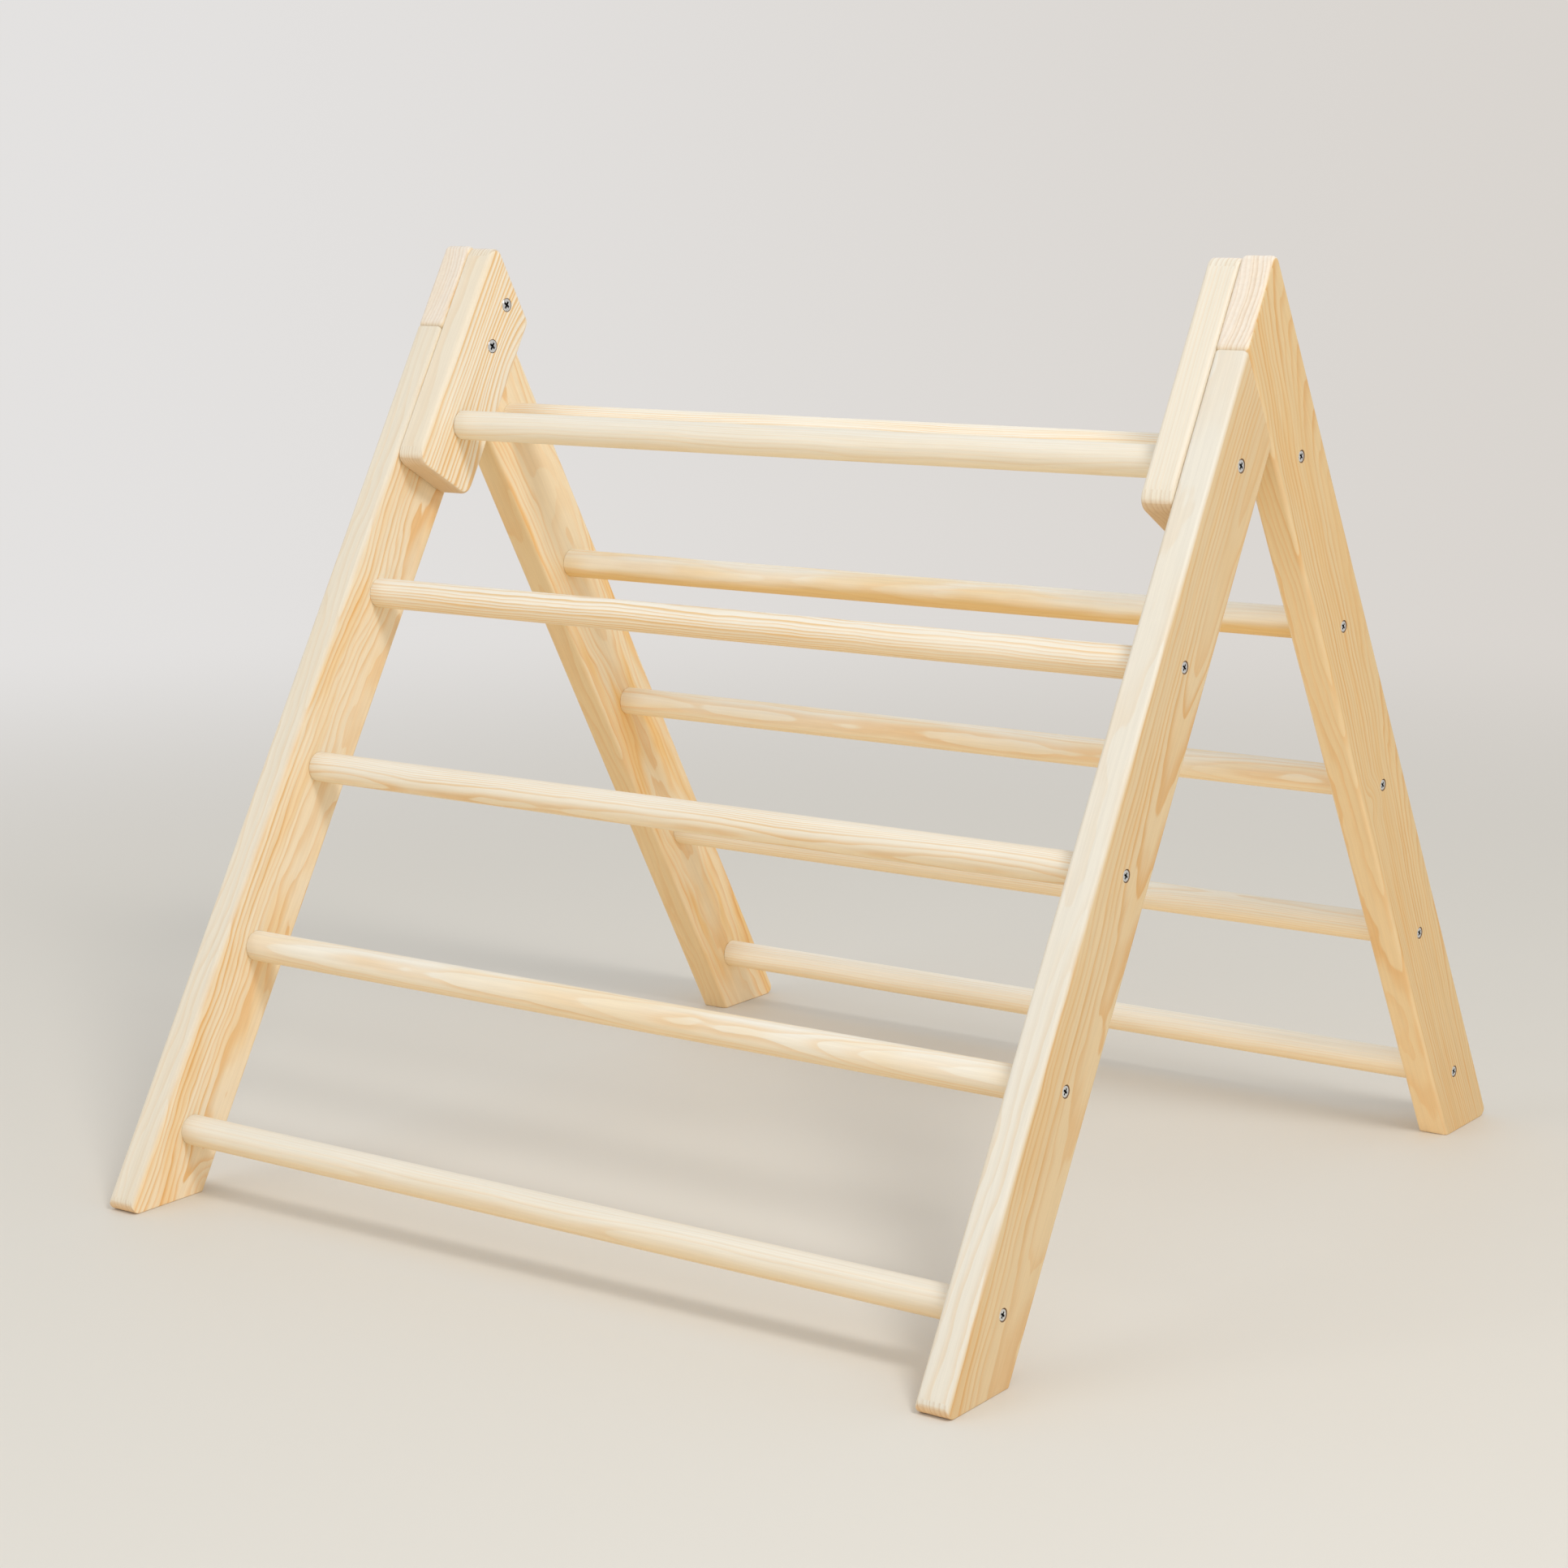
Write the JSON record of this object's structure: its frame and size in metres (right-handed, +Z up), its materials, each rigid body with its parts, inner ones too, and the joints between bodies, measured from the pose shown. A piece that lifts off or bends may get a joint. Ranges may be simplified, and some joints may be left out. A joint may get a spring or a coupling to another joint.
{
  "type": "folding climbing triangle",
  "caption": "Free-standing wooden climbing triangle for small children: a front and a rear ladder of round rungs, hinged at the top so that they fold flat.",
  "frame": {"origin": "on the floor, in the middle of the open frame's footprint", "axes": "+X along the rungs, to the right as seen from the front; +Y from the front feet to the rear feet; +Z up"},
  "size_m": [0.8006, 0.8806, 0.7581],
  "materials": {
    "pine_rails": "clear-finished planed pine, satin",
    "pine_plates": "clear-finished planed pine, satin",
    "pine_rungs": "clear-finished turned pine, satin",
    "zinc_screws": "zinc plated"
  },
  "bodies": {
    "rear_frame": {"rear_left_rail": "pine_rails", "rear_right_rail": "pine_rails", "left_hinge_plate": "pine_plates", "right_hinge_plate": "pine_plates", "rear_rung_1": "pine_rungs", "rear_rung_2": "pine_rungs", "rear_rung_3": "pine_rungs", "rear_rung_4": "pine_rungs", "rear_rung_5": "pine_rungs", "rear_left_rung_screws": "zinc_screws", "rear_right_rung_screws": "zinc_screws", "left_plate_screws": "zinc_screws", "right_plate_screws": "zinc_screws"},
    "front_frame": {"front_left_rail": "pine_rails", "front_right_rail": "pine_rails", "front_rung_1": "pine_rungs", "front_rung_2": "pine_rungs", "front_rung_3": "pine_rungs", "front_rung_4": "pine_rungs", "front_rung_5": "pine_rungs", "pivot_screws": "zinc_screws", "front_left_rung_screws": "zinc_screws", "front_right_rung_screws": "zinc_screws"}
  },
  "joints": [
    {"name": "fold", "type": "hinge", "parent": "rear_frame", "child": "front_frame", "pos_m": [0, -0.04887, 0.60785], "axis": [1, 0, 0], "range_deg": [0, 60.5]}
  ]
}
